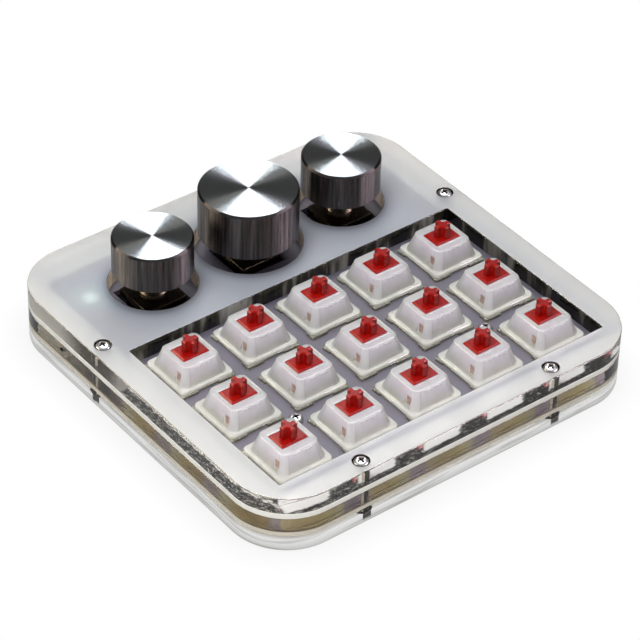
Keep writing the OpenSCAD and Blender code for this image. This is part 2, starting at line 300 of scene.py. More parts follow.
def piece(name, bm, materials, body, replaces, at=(0, 0), flat=True):
    """Makes bm, moved to at, an object of the scene with the given materials, puts it under its body and
    hides the CAD nodes it replaces.
    """
    bmesh.ops.translate(bm, vec=(at[0], at[1], 0), verts=bm.verts)
    bmesh.ops.scale(bm, vec=(0.001, 0.001, 0.001), verts=bm.verts)
    me = bpy.data.meshes.new(name)
    bm.to_mesh(me)
    bm.free()
    me.set_sharp_from_angle(angle=math.radians(SHARP))
    for m in materials:
        me.materials.append(m)
    ob = bpy.data.objects.new(name, me)
    scene.collection.objects.link(ob)
    if flat:
        flatten(ob)
    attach(ob, body)
    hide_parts(*replaces)
    return ob


# ---------- nodes ----------

WHITE = (1, 1, 1)
MIX_A, MIX_B, MIX_RESULT = 6, 7, 2    # the colour sockets of a Mix node


class Signal:
    """What a node gives out: a number, a colour or a shader. Sums with numbers make Math nodes."""

    def __init__(self, socket):
        self.socket = socket
        self.nt = socket.id_data

    def __add__(self, other):
        return math_node("ADD", self, other)

    def __sub__(self, other):
        return math_node("SUBTRACT", self, other)

    def __rsub__(self, other):
        return math_node("SUBTRACT", other, self)

    def __mul__(self, other):
        return math_node("MULTIPLY", self, other)

    def __truediv__(self, other):
        return math_node("DIVIDE", self, other)

    def __abs__(self):
        return math_node("ABSOLUTE", self)


def tree_of(*values):
    """The node tree that the signals among values belong to."""
    return next(v.nt for v in values if isinstance(v, Signal))


def feed(socket, value):
    """Links an input to a signal, or sets it to a plain value."""
    if isinstance(value, Signal):
        value.nt.links.new(value.socket, socket)
    else:
        socket.default_value = value


def put(node, **inputs):
    """Feeds the inputs of a node by their names, with _ for each space."""
    for key, value in inputs.items():
        feed(node.inputs[key.replace("_", " ")], value)


def signal(nt, kind, output, **inputs):
    """One output of a new shader node."""
    node = nt.nodes.new(kind)
    put(node, **inputs)
    return Signal(node.outputs[output])


def math_node(operation, a, b=0.0):
    node = tree_of(a, b).nodes.new("ShaderNodeMath")
    node.operation = operation
    feed(node.inputs[0], a)
    feed(node.inputs[1], b)
    return Signal(node.outputs["Value"])


def span_node(value, low, high, at_low=0.0, at_high=1.0):
    """at_low up to low, at_high from high on, and even steps between them."""
    return signal(value.nt, "ShaderNodeMapRange", "Result", Value=value, From_Min=low, From_Max=high,
                  To_Min=at_low, To_Max=at_high)


def rgba(color):
    return (*color, 1.0)


def ramp_node(value, *colors):
    """Colour ramp from (position, colour) pairs."""
    out = signal(value.nt, "ShaderNodeValToRGB", "Color", Fac=value)
    elements = out.socket.node.color_ramp.elements
    for element, (position, color) in zip(elements, (colors[0], colors[-1])):
        element.position = position
        element.color = rgba(color)
    for position, color in colors[1:-1]:
        elements.new(position).color = rgba(color)
    return out


def blend_node(factor, a, b, blend="MIX"):
    """Colour a where factor is 0 and b where it is 1, or, with another blend, b put over a."""
    node = tree_of(factor, a, b).nodes.new("ShaderNodeMix")
    node.data_type = "RGBA"
    node.blend_type = blend
    feed(node.inputs["Factor"], factor)
    for index, color in ((MIX_A, a), (MIX_B, b)):
        feed(node.inputs[index], color if isinstance(color, Signal) else rgba(color))
    return Signal(node.outputs[MIX_RESULT])


def mix_shaders(factor, a, b):
    """Shader a where factor is 0 and b where it is 1."""
    node = tree_of(a).nodes.new("ShaderNodeMixShader")
    for socket, value in zip(node.inputs, (factor, a, b)):
        feed(socket, value)
    return Signal(node.outputs["Shader"])


def noise_node(nt, mm, detail=3, stretch=(1, 1, 1)):
    """Noise in the object's own space, with grains of about mm."""
    coord = signal(nt, "ShaderNodeTexCoord", "Object")
    place = signal(nt, "ShaderNodeMapping", "Vector", Vector=coord, Scale=stretch)
    return signal(nt, "ShaderNodeTexNoise", "Fac", Vector=place, Scale=1000 / mm, Detail=detail)


def parts_of(vector):
    """X, Y and Z of a vector."""
    split = vector.nt.nodes.new("ShaderNodeSeparateXYZ")
    put(split, Vector=vector)
    return [Signal(split.outputs[axis]) for axis in "XYZ"]


def place_of(mat):
    """X, Y and Z in mm, with Z the height above the floor."""
    return [part * 1000 for part in parts_of(signal(mat.node_tree, "ShaderNodeTexCoord", "Object"))]


def facing(mat):
    """How far the surface faces along X, Y and Z, each from 0 to 1."""
    return [abs(part) for part in parts_of(signal(mat.node_tree, "ShaderNodeNewGeometry", "Normal"))]


def from_inside(mat):
    """1 where a surface is seen from its inner side, 0 elsewhere."""
    return signal(mat.node_tree, "ShaderNodeNewGeometry", "Backfacing")


def bsdf_of(mat):
    return mat.node_tree.nodes["Principled BSDF"]


def over_base(mat, color, blend="MULTIPLY", weight=1.0):
    """Puts a colour over the base colour of mat, as far as weight says."""
    base = bsdf_of(mat).inputs["Base Color"]
    feed(base, blend_node(weight, Signal(base.links[0].from_socket), color, blend))


def tint(mat, value, *colors, blend="MULTIPLY", weight=1.0):
    """Puts a colour ramp of (position, colour) pairs over the base colour of mat."""
    over_base(mat, ramp_node(value, *colors), blend, weight)


# ---------- kinds of material ----------


def srgb(*levels):
    """Linear colour from red, green and blue of 0 to 255."""
    def linear(v):
        v /= 255
        return v / 12.92 if v <= 0.04045 else ((v + 0.055) / 1.055) ** 2.4

    return tuple(linear(v) for v in levels)


def finish_of(name, color, rough=0.5, metal=0.0, mottle=0.0, mottle_mm=3.0, rough_spread=0.08, grain=0.0,
              grain_mm=0.2, stretch=(1, 1, 1), **sockets):
    """Principled material whose colour, roughness and bump vary with noise in the object's own space.
    mottle is the share that the colour varies by, grain the bump's height in mm."""
    mat = bpy.data.materials.new(name)
    mat.use_nodes = True
    nt = mat.node_tree
    dark = [c * (1 - mottle) for c in color]
    light = [min(1, c * (1 + mottle / 2)) for c in color]
    broad = noise_node(nt, mottle_mm, 3, stretch)
    fine = noise_node(nt, grain_mm, 2, stretch)
    span = span_node(fine, 0.3, 0.7, max(0.0, rough - rough_spread), min(1.0, rough + rough_spread))
    put(bsdf_of(mat), Base_Color=ramp_node(broad, (0.3, dark), (0.7, light)), Roughness=span,
        Metallic=metal, **sockets)
    if grain:
        bump = signal(nt, "ShaderNodeBump", "Normal", Distance=grain / 1000, Height=fine)
        put(bsdf_of(mat), Normal=bump)
    return mat


def lit_through(mat, share, glow=0.0, glow_color=WHITE):
    """Lets lamps shine through a clear or frosted piece, so that what is inside it is lit. glow is the share
    of a cloudy piece's face that shows the light behind it."""
    nt = mat.node_tree
    front = Signal(bsdf_of(mat).outputs["BSDF"])
    if glow:
        cloudy = signal(nt, "ShaderNodeBsdfTranslucent", "BSDF", Color=rgba(glow_color))
        front = mix_shaders(glow, front, cloudy)
    through = signal(nt, "ShaderNodeLightPath", "Is Shadow Ray") * share
    shown = mix_shaders(through, front, signal(nt, "ShaderNodeBsdfTransparent", "BSDF"))
    put(nt.nodes["Material Output"], Surface=shown)
    return mat


def acrylic(name, color):
    return lit_through(finish_of(name, color, 0.02, rough_spread=0.015, mottle=0.02, mottle_mm=20,
                                 grain=0.0006, grain_mm=3, Transmission_Weight=1.0, IOR=1.49), 0.9)


# ---------- clear and frosted acrylic ----------


def clear_low(name):
    """Clear bottom layer. Round its rim it shows painted reflections in thin level streaks, and painted shade
    makes it darker at its foot and top.
    """
    mat = acrylic(name, (0.98, 0.982, 0.975))
    x, y, z = place_of(mat)
    rim = span_node(math_node("MAXIMUM", abs(x) - POCKET_W / 2, abs(y) - POCKET_D / 2), 0, 2)
    tint(mat, z / 5, (0.0, (0.36, 0.36, 0.35)), (0.06, (0.42, 0.42, 0.41)), (0.2, (0.6, 0.6, 0.59)),
         (0.42, (0.82, 0.82, 0.82)), (0.62, (0.96, 0.96, 0.94)), (0.78, (0.5, 0.48, 0.43)),
         (1.0, (0.34, 0.31, 0.26)), weight=rim)
    streak = noise_node(mat.node_tree, 1 / 1.1, 2, (0.06, 0.06, 1))
    tint(mat, streak, (0.34, (0.5, 0.5, 0.48)), (0.54, WHITE), weight=rim)
    return mat


def cool_middle(mat):
    """Painted light on the frosted face: it is whitest along the rim of the case, and painted cooler and
    darker over the middle, where the dark plate shows through.
    """
    x, y, _ = place_of(mat)
    out = math_node("MAXIMUM", abs(x) / (CASE_W / 2), abs(y) / (CASE_D / 2))
    tint(mat, out, (0.7, (0.88, 0.93, 1)), (0.9, (0.88, 0.9, 0.93)), (0.97, WHITE))


def hole_shade(mat):
    """Painted shade: the frosted face is darker round each knob hole, where the knob's shadow and the dark
    encoder under it would show. The shade lies a little towards the front left."""
    left, front = 0.5, 0.6
    x, y, _ = place_of(mat)
    near = None
    for knob_x, r in zip(KNOB_X, KNOB_R):
        dx = x - (knob_x - left)
        dy = y - (KNOB_Y - front)
        away = math_node("SQRT", dx * dx + dy * dy) - (r + KNOB_GAP)
        near = math_node("MINIMUM", near, away) if near else away
    tint(mat, (near + 1) / 6, (0.0, (0.34, 0.34, 0.36)), (0.2, (0.46, 0.46, 0.5)), (0.42, (0.78, 0.79, 0.83)),
         (0.7, (0.95, 0.955, 0.97)), (1.0, WHITE))


def dark_inside(mat):
    """Painted reflection: the frosted face as the clear wall mirrors it from inside, painted blotchy and
    darker than from above.
    """
    blotch = noise_node(mat.node_tree, 3.125, 6)
    tint(mat, blotch, (0.46, (0.05, 0.045, 0.036)), (0.62, (0.5, 0.48, 0.44)), weight=from_inside(mat))


def led_glow(mat):
    """Painted glow: the soft spot that the status light makes in the frosted face above it, painted in as
    emission.
    """
    nt = mat.node_tree
    away = nt.nodes.new("ShaderNodeVectorMath")
    away.operation = "DISTANCE"
    feed(away.inputs[0], signal(nt, "ShaderNodeTexCoord", "Object"))
    feed(away.inputs[1], [v / 1000 for v in GLOW_AT])
    spot = ramp_node(Signal(away.outputs["Value"]) * 100, (0.0, (0.26, 0.36, 0.31)),
                     (0.12, (0.19, 0.26, 0.23)), (0.26, (0.06, 0.09, 0.08)), (0.6, (0.015, 0.03, 0.03)),
                     (1.0, (0, 0, 0)))
    put(bsdf_of(mat), Emission_Color=blend_node(from_inside(mat), spot, (0, 0, 0)), Emission_Strength=1.0)


CLEAR = clear_low("clear_acrylic")
CLEAR_TOP = acrylic("clear_acrylic_top", (0.95, 0.94, 0.91))
CLEAR_MID = acrylic("clear_acrylic_middle", (0.95, 0.93, 0.88))
FROST = lit_through(finish_of("frosted_acrylic", (0.97, 0.98, 1), 0.55, rough_spread=0.06, mottle=0.02,
                              mottle_mm=6, grain=0.006, grain_mm=0.12, Transmission_Weight=0.6,
                              IOR=1.49), 0.75)
cool_middle(FROST)
hole_shade(FROST)
dark_inside(FROST)
led_glow(FROST)

# ---------- painted reflections that the walls of the clear layers show ---

DEPTH_SIDE, DEPTH_FRONT = 1.94, 2.05    # mm of the underside behind each mm of the wall's height
SLANT = 0.8                             # mm that the blocks shift to the right for each mm of height
BLOCKS_FROM, ROWS_FROM = 13.3, 8.6      # a block and a switch start this far left of the centre


def cell_of(along, start):
    """Where a place lies in the pitch of the switches, from 0 to 1."""
    return math_node("FRACT", (along + (start + 5 * PITCH)) / PITCH)


def underside(name):
    """Underside of the clear top layer. At flat angles it shows a painted reflection of the row of switches,
    with the dark room between them, as blotchy blocks; at steep angles it is clear."""
    mat = acrylic(name, (0.94, 0.92, 0.88))
    nt = mat.node_tree
    x, y, _ = place_of(mat)
    side = CASE_W / 2 - abs(x)
    front = CASE_D / 2 - abs(y)
    high_side = side / DEPTH_SIDE
    high_front = front / DEPTH_FRONT
    wobble = (noise_node(nt, 1.1, 5) - 0.5) * 2.6
    speckle_noise = noise_node(nt, 0.32, 2) * 0.55 + noise_node(nt, 1.6, 3) * 0.45 - x / 1300
    speckle = ramp_node(speckle_noise, (0.47, (0.002, 0.002, 0.002)), (0.55, (0.03, 0.03, 0.027)),
                        (0.61, (0.2, 0.2, 0.19)), (0.7, (0.85, 0.85, 0.83)))
    # the front: a painted reflection of white blocks on the speckled dark, with red high up on their left
    cell = cell_of(x - high_front * SLANT + wobble, BLOCKS_FROM)
    block = ramp_node(cell, (0.0, (0, 0, 0)), (0.02, (0.7, 0.7, 0.7)), (0.05, WHITE), (0.56, WHITE),
                      (0.6, (0.1, 0.1, 0.1)), (0.64, (0, 0, 0)))
    high = span_node(high_front + wobble * 0.35, 1.5, 1.9)
    red = ramp_node(cell, (0.9, (0.1, 0.02, 0.02)), (0.95, (0.55, 0.06, 0.08)), (0.99, (0.8, 0.45, 0.45)))
    high_gap = blend_node(span_node(cell, 0.9, 0.95), speckle, red)
    gap = blend_node(span_node(high_front + wobble, 2.7, 3.4), speckle, high_gap)
    rows = blend_node(block * high, gap, (0.96, 0.97, 0.96))
    # the sides: a painted reflection of a pale band over the speckled dark, and plain towards the back
    entry = y - high_side
    plain = ramp_node((entry + wobble * 2) / 54, (0.1, (0.3, 0.28, 0.27)), (0.18, (0.06, 0.045, 0.038)),
                      (0.38, (0.04, 0.033, 0.016)), (0.56, (0.45, 0.43, 0.39)), (1.0, (0.5, 0.49, 0.46)))
    band = blend_node(span_node(high_side + wobble, 3.4, 3.7), speckle, (0.8, 0.8, 0.8))
    along_side = blend_node(span_node(y, 5.0, 5.6), band, plain)
    along_front = blend_node(span_node(y, 0, 1), rows, plain)
    shown = blend_node(math_node("GREATER_THAN", side, front), along_side, along_front)
    flat = span_node(signal(nt, "ShaderNodeLayerWeight", "Facing"), 0.4, 0.46)
    over_base(mat, shown, "MIX", flat)
    put(bsdf_of(mat), Transmission_Weight=1 - flat)
    return mat


def inner_view(name):
    """Polished inner wall of the clear middle layer, with a painted reflection of the switches' olive
    undersides behind it.
    """
    mat = finish_of(name, WHITE, 0.3, mottle=0.12, mottle_mm=1.2, grain=0.001, grain_mm=1)
    x, y, _ = place_of(mat)
    lengthwise = math_node("GREATER_THAN", facing(mat)[1], 0.7)
    wobble = (noise_node(mat.node_tree, 2) - 0.5) * 1.5
    cell = cell_of(x * lengthwise + y * (lengthwise - 1) + wobble, ROWS_FROM)
    front_rows = ramp_node(cell, (0.0, srgb(214, 202, 210)), (0.03, srgb(238, 224, 176)),
                           (0.3, srgb(232, 214, 150)), (0.5, srgb(244, 232, 156)),
                           (0.72, srgb(255, 252, 206)), (0.77, srgb(218, 206, 214)),
                           (1.0, srgb(214, 202, 210)))
    side_rows = ramp_node(cell, (0.0, srgb(198, 186, 190)), (0.02, srgb(240, 236, 206)),
                          (0.18, srgb(238, 230, 186)), (0.3, srgb(222, 200, 136)),
                          (0.66, srgb(214, 190, 140)), (0.71, srgb(206, 194, 198)),
                          (1.0, srgb(198, 186, 190)))
    plain = ramp_node((y + wobble) / 46, (0.2, srgb(150, 138, 142)), (0.36, srgb(88, 74, 72)),
                      (0.5, srgb(100, 86, 76)), (0.72, srgb(206, 202, 190)), (1.0, srgb(212, 208, 196)))
    rows = blend_node(lengthwise, side_rows, front_rows)
    over_base(mat, blend_node(span_node(y, 9, 10), rows, plain))
    return mat


def streaky(name, mm, dark, middle, light, inside):
    """Polished inner wall of a clear layer, with a painted reflection of the dark inside of the case in
    upright streaks.
    """
    mat = finish_of(name, WHITE, 0.1, mottle=0.15, mottle_mm=0.8, grain=0.001, grain_mm=1,
                    stretch=(1, 1, 0.2))
    streak = noise_node(mat.node_tree, mm, 5, (1, 1, 0.15))
    tint(mat, streak, (0.42, dark), (0.5, middle), (0.6, light))
    tint(mat, streak, (0.0, [c * 0.6 for c in inside]), (1.0, inside), blend="MIX", weight=from_inside(mat))
    return mat


UNDER = underside("clear_acrylic_underside")
INNER = inner_view("acrylic_inner")
BORE = streaky("acrylic_bore", 3, srgb(70, 62, 56), srgb(176, 160, 148), srgb(236, 222, 198),
               inside=srgb(56, 56, 60))
lit_through(BORE, 0.2, 0.5, srgb(236, 222, 206))
WELL = streaky("acrylic_well", 7, srgb(22, 22, 20), srgb(62, 59, 50), srgb(176, 174, 168),
               inside=srgb(120, 114, 104))
# painted shade: the well's walls that face sideways are darker
tint(WELL, facing(WELL)[0], (0.0, WHITE), (1.0, (0.4, 0.39, 0.37)))

# ---------- other materials of the case ----------

# painted shade: a grey band along the bottom layer's lower edge, where it sits on the floor
EDGE_SHADE = finish_of("acrylic_edge_shade", srgb(168, 170, 168), 0.3, mottle=0.06, grain=0.002,
                     Transmission_Weight=0.5, IOR=1.49)
# painted reflection: pale glints and the dark shank, as seen through the screw holes' walls
HOLE_EDGE_GLINT = finish_of("hole_edge_painted_glint", srgb(206, 200, 186), 0.25, mottle=0.2, mottle_mm=1, grain=0.002)
HOLE_CORE_VIEW = finish_of("hole_core_painted_shank", srgb(34, 28, 20), 0.3, mottle=0.3, mottle_mm=0.6, grain=0.002)
IVORY = finish_of("ivory_acrylic", srgb(238, 237, 230), 0.4, mottle=0.05, mottle_mm=5, grain=0.003,
                  Transmission_Weight=0.2, IOR=1.49)
TAN = finish_of("ivory_acrylic_low", srgb(216, 209, 192), 0.4, mottle=0.08, mottle_mm=5, grain=0.003,
                Transmission_Weight=0.2, IOR=1.49)
# painted shade: darker along its top, under the seam with the layer above
tint(TAN, place_of(TAN)[2] - 5, (0.5, WHITE), (0.7, (0.2, 0.17, 0.13)))
SCREW = finish_of("screw_steel", srgb(216, 215, 216), 0.34, metal=1.0, mottle=0.08, mottle_mm=0.8,
                  grain=0.003)
THREAD = finish_of("screw_thread", srgb(72, 64, 50), 0.35, metal=1.0, mottle=0.15, mottle_mm=0.8,
                   grain=0.002)
# painted shade in the screws' cross recesses
RECESS_SHADE = finish_of("screw_recess_shade", srgb(16, 15, 15), 0.7, mottle=0.1, mottle_mm=0.8, grain=0.002)

# ---------- materials of the switches ----------


def milky(name):
    """Cloudy plastic with painted light: painted shade makes it greyer low on its upright walls, and painted
    highlights make it white on rims, flanges and round corners, with a thin darker line where each corner
    starts.
    """
    mat = finish_of(name, srgb(248, 249, 251), 0.16, mottle=0.1, mottle_mm=2.2, grain=0.001,
                    Transmission_Weight=0.45, IOR=1.46, Coat_Weight=0.25, Coat_Roughness=0.08)
    face_x, face_y, _ = facing(mat)
    corner = face_x * face_y
    up = (place_of(mat)[2] - FLANGE_Z) / 6
    tint(mat, up, (0.0, WHITE), (0.15, (0.95, 0.95, 0.92)), (0.22, (0.66, 0.65, 0.56)),
         (0.5, (0.84, 0.82, 0.86)), (0.84, (0.97, 0.95, 1)), (0.87, WHITE), (1.0, WHITE),
         weight=math_node("MAXIMUM", 1 - corner * 2.2, 0.0))
    tint(mat, corner, (0.0, WHITE), (0.03, WHITE), (0.07, (0.62, 0.6, 0.6)), (0.14, (0.9, 0.9, 0.9)),
         (0.2, WHITE), (0.42, (0.9, 0.9, 0.9)))
    return lit_through(mat, 0.7, 0.3, (0.94, 0.95, 0.98))


MILKY = milky("milky_plastic")
OLIVE = lit_through(finish_of("clear_plastic_low", srgb(226, 226, 214), 0.1, mottle=0.1, mottle_mm=2,
                              grain=0.002, grain_mm=1.2, Transmission_Weight=0.7, IOR=1.5), 0.85)
# painted shade: dark olive low down, under the flange and next to the plate
tint(OLIVE, place_of(OLIVE)[2] - PLATE_Z, (0.35, (0.3, 0.28, 0.19)), (0.8, WHITE))
CRYSTAL = lit_through(finish_of("clear_plastic", srgb(250, 250, 250), 0.12, mottle=0.06, mottle_mm=2,
                                grain=0.001, grain_mm=1.2, Transmission_Weight=0.55, IOR=1.5), 0.85)
# painted shade: darker at its foot, where it meets the bottom housing
tint(CRYSTAL, place_of(CRYSTAL)[2] - FLANGE_Z, (0.05, (0.7, 0.69, 0.6)), (0.35, WHITE))
RED = finish_of("stem_red", srgb(170, 18, 12), 0.3, Specular_IOR_Level=0.25, mottle=0.2, mottle_mm=1.2,
                grain=0.003, Subsurface_Weight=0.08, Subsurface_Radius=(0.5, 0.05, 0.03),
                Subsurface_Scale=0.001)
# painted shade: upright faces darker than the tops
tint(RED, facing(RED)[2], (0.3, (0.72, 0.7, 0.7)), (0.8, WHITE))
# painted shade inside the housings' side windows
SLOT_SHADE = finish_of("switch_slot_shade", srgb(182, 154, 142), 0.4, mottle=0.35, mottle_mm=1, grain=0.002)
SPRING = finish_of("spring_steel", srgb(196, 196, 200), 0.25, metal=1.0, mottle=0.08, mottle_mm=1,
                   grain=0.002)

# ---------- other materials ----------

PLATE = finish_of("plate_grey", srgb(112, 108, 122), 0.5, mottle=0.06, mottle_mm=8, grain=0.006,
                  grain_mm=0.15)
BOARD = finish_of("board", srgb(70, 78, 58), 0.45, mottle=0.25, mottle_mm=1.2, grain=0.01, grain_mm=0.6)
BLACK = finish_of("black_plastic", srgb(38, 38, 42), 0.5, mottle=0.1, grain=0.01, grain_mm=0.15)
COVER = finish_of("cover_metal", srgb(84, 78, 68), 0.3, metal=1.0, mottle=0.15, mottle_mm=2, grain=0.003)
ROTOR = finish_of("rotor_plastic", srgb(228, 220, 200), 0.45, mottle=0.05, grain=0.004)
SHAFT = finish_of("shaft_metal", srgb(120, 116, 112), 0.3, metal=1.0, mottle=0.08, mottle_mm=1, grain=0.002)
BRASS = finish_of("contact_brass", srgb(205, 170, 108), 0.3, metal=1.0, mottle=0.1, mottle_mm=1, grain=0.003)
LED = finish_of("led_lens", srgb(190, 236, 228), 0.3, mottle=0.04, grain=0.002, Transmission_Weight=0.3,
                Emission_Color=(0.8, 1.0, 0.92, 1), Emission_Strength=9.0)
SHELL = finish_of("shell_steel", srgb(196, 196, 200), 0.28, metal=1.0, mottle=0.06, mottle_mm=1.5,
                  grain=0.002, stretch=(1, 0.2, 1))


def knob_metal(name, color, rough, mottle, spread=0.06, along=False):
    """Turned metal, with its grooves round the axis, or along it where along is true."""
    if along:
        look = {"mottle_mm": 0.8, "grain": 0.002, "stretch": (1, 1, 0.04)}
    else:
        look = {"mottle_mm": 0.5, "grain": 0.0006}
    mat = finish_of(name, color, rough, metal=1.0, mottle=mottle, rough_spread=spread, grain_mm=0.12, **look)
    tangent = signal(mat.node_tree, "ShaderNodeTangent", "Tangent")
    tangent.socket.node.direction_type = "RADIAL"
    tangent.socket.node.axis = "Z"
    put(bsdf_of(mat), Anisotropic=0.9 if along else 1.0, Anisotropic_Rotation=0.25, Tangent=tangent)
    return mat


# the side's strong upright streaks are partly its brushing and partly painted reflection
KNOB_SIDE = knob_metal("knob_side_metal", srgb(104, 100, 99), 0.32, 0.65, along=True)
KNOB_TOP = knob_metal("knob_top_metal", srgb(208, 216, 222), 0.24, 0.12, spread=0.03)
KNOB_EDGE = knob_metal("knob_edge_metal", srgb(70, 66, 66), 0.3, 0.2)

# ---------- case layers ----------


def outer(z0, z1, low, high):
    return wall(rounded(CASE_W, CASE_D, CORNER_R, n=CORNER_N), z0, z1, low, high)


def notched(inner_w, inner_d, half):
    """Outline of a ring that is open at the back, from -half to half."""
    out = rounded(CASE_W, CASE_D, CORNER_R, n=CORNER_N)
    inn = rounded(inner_w, inner_d, INNER_R)
    back_out, back_in = CORNER_N + 1, ROUND_N + 1     # each outline's first point after the back right corner
    pts = [(-half, CASE_D / 2)] + out[back_out:] + out[:back_out] + [(half, CASE_D / 2)]
    inside = inn[back_in:] + inn[:back_in]
    return pts + [(half, inner_d / 2)] + inside[::-1] + [(-half, inner_d / 2)]


def screw_holes(z0, z1):
    return [wall(circle(HOLE_R, x, y), z0, z1, hole=True) for x, y in CASE_SCREWS]


def screw_walls(bm, looks):
    """Marks the screw holes' walls with painted light: the shank is painted dark where a side of the case
    looks straight at it, with pale painted glints where the wall is seen at a slant.
    """
    for x, y in CASE_SCREWS:
        axis = 0 if abs(x) / CASE_W > abs(y) / CASE_D else 1
        for look, straight in ((HOLE_EDGE_GLINT, False), (HOLE_CORE_VIEW, True)):
            mark(bm, looks.index(look), lambda c, n: math.hypot(c.x - x, c.y - y) < HOLE_R + 0.05
                 and abs(n.z) < 0.5 and (abs(n[axis]) > 0.8) == straight)
    return bm


def nut_hole(x, y):
    nut = hexagon(4.2, x, y)
    hole = circle(HOLE_R, x, y)
    return [(nut, 0.0), (nut, 2.0), (hole, 2.0), (hole, PCB_Z - SEAM)]


def sunk_hole(x, y):
    hole = circle(HOLE_R, x, y)
    sink = circle(SINK_R, x, y)
    return [(hole, PLATE_Z + SEAM), (hole, FACE_Z - SINK), (sink, FACE_Z - SINK), (sink, FACE_Z - 0.1),
            (circle(SINK_R + 0.1, x, y), FACE_Z)]


def near_knob(c, gap):
    return any(math.hypot(c.x - x, c.y - KNOB_Y) < r + gap for x, r in zip(KNOB_X, KNOB_R))


def near_screw(c, r):
    return any(math.hypot(c.x - x, c.y - y) < r for x, y in CASE_SCREWS)


def in_well(c):
    return abs(c.x) < WELL_W / 2 + 0.05 and abs(c.y - KEY_Y) < WELL_D / 2 + 0.05


def top_layer():
    looks = [CLEAR_TOP, FROST, BORE, WELL, HOLE_EDGE_GLINT, HOLE_CORE_VIEW, UNDER]
    z0 = PLATE_Z + SEAM
    well = rounded(WELL_W, WELL_D, 0.25, 0, KEY_Y, 4)
    through = [outer(z0, FACE_Z, 0.15, 0.3), wall(well, z0, FACE_Z, 0.1, 0.2, hole=True)]
    for x, r in zip(KNOB_X, KNOB_R):
        through.append(wall(circle(r + KNOB_GAP, x, KNOB_Y, 96), z0, FACE_Z, 0.1, 0.25, hole=True))
    through += [sunk_hole(x, y) for x, y in CASE_SCREWS]
    # pockets over the heads of the two back standoff screws
    heads = [[(circle(2.4, x, y), 12.7), (circle(2.4, x, y), z0)] for x, y in PLATE_SCREWS[2:]]
    bm = plate(through, from_bottom=heads, top_index=looks.index(FROST))
    mark(bm, looks.index(BORE), lambda c, n: c.z < FACE_Z - 0.01 and near_knob(c, KNOB_GAP + 0.2)
         and abs(n.z) < 0.9)
    mark(bm, looks.index(WELL), lambda c, n: c.z < FACE_Z - 0.01 and min(n.x, n.y) < -0.3 and in_well(c))
    mark(bm, looks.index(UNDER), lambda c, n: c.z < z0 + 0.01 and n.z < -0.9)
    # painted shade: the walls of the holes that sink the screw heads take the well's dark streaks
    mark(bm, looks.index(WELL), lambda c, n: FACE_Z - SINK - 0.01 < c.z < FACE_Z - 0.05
         and near_screw(c, SINK_R + 0.05))
    piece("top_layer", screw_walls(bm, looks), looks, "case", ["top_plate"])


def plate_layer():
    z0, z1 = FRAME_Z + SEAM, PLATE_Z - SEAM
    inner = wall(rounded(96.9, 94.7, INNER_R), z0, z1, hole=True)
    bm = plate([outer(z0, z1, 0.12, 0.12), inner] + screw_holes(z0, z1))
    piece("plate_layer", bm, [IVORY], "case", ["plate_ring"])


def middle_layer():
    looks = [CLEAR_MID, INNER, HOLE_EDGE_GLINT, HOLE_CORE_VIEW]
    z0, z1 = BOARD_Z + SEAM, FRAME_Z - SEAM
    w, d = 93.4, 91.4
    bm = plate([wall(notched(w, d, 6.5), z0, z1, 0.15, 0.15)] + screw_holes(z0, z1))
    pinhole = rod(0.7, -5, 5, 0, 24)
    bmesh.ops.rotate(pinhole, matrix=Matrix.Rotation(math.radians(90), 3, "Y"), verts=pinhole.verts)
    bmesh.ops.translate(pinhole, vec=(-51.5, 29.4, 7.8), verts=pinhole.verts)
    bm = combine(bm, ("DIFFERENCE", pinhole))
    mark(bm, looks.index(INNER), lambda c, n: abs(c.x) < w / 2 + 0.05 and abs(c.y) < d / 2 + 0.05
         and abs(n.z) < 0.5)
    piece("middle_layer", screw_walls(bm, looks), looks, "case", ["middle_frame"])


def board_layer():
    z0, z1 = PCB_Z + SEAM, BOARD_Z - SEAM
    bm = plate([wall(notched(96.7, 94.7, 6.15), z0, z1, 0.12, 0.12)] + screw_holes(z0, z1))
    piece("board_layer", bm, [TAN], "case", ["board_ring"])


def bottom_layer():
    looks = [CLEAR, EDGE_SHADE, HOLE_EDGE_GLINT, HOLE_CORE_VIEW]
    z1 = PCB_Z - SEAM
    pocket = wall(rounded(POCKET_W, POCKET_D, INNER_R), FLOOR_T, z1, hole=True)
    bm = plate([outer(0, z1, 0.3, 0.15)] + [nut_hole(x, y) for x, y in CASE_SCREWS], from_top=[pocket])
    # painted shade along the lower edge
    mark(bm, looks.index(EDGE_SHADE), lambda c, n: 0.01 < c.z < 0.29)
    piece("bottom_layer", screw_walls(bm, looks), looks, "case", ["bottom_plate"])


top_layer()
plate_layer()
middle_layer()
board_layer()
bottom_layer()

# ---------- screws ----------

SCREW_LOOKS = [SCREW, THREAD, RECESS_SHADE]


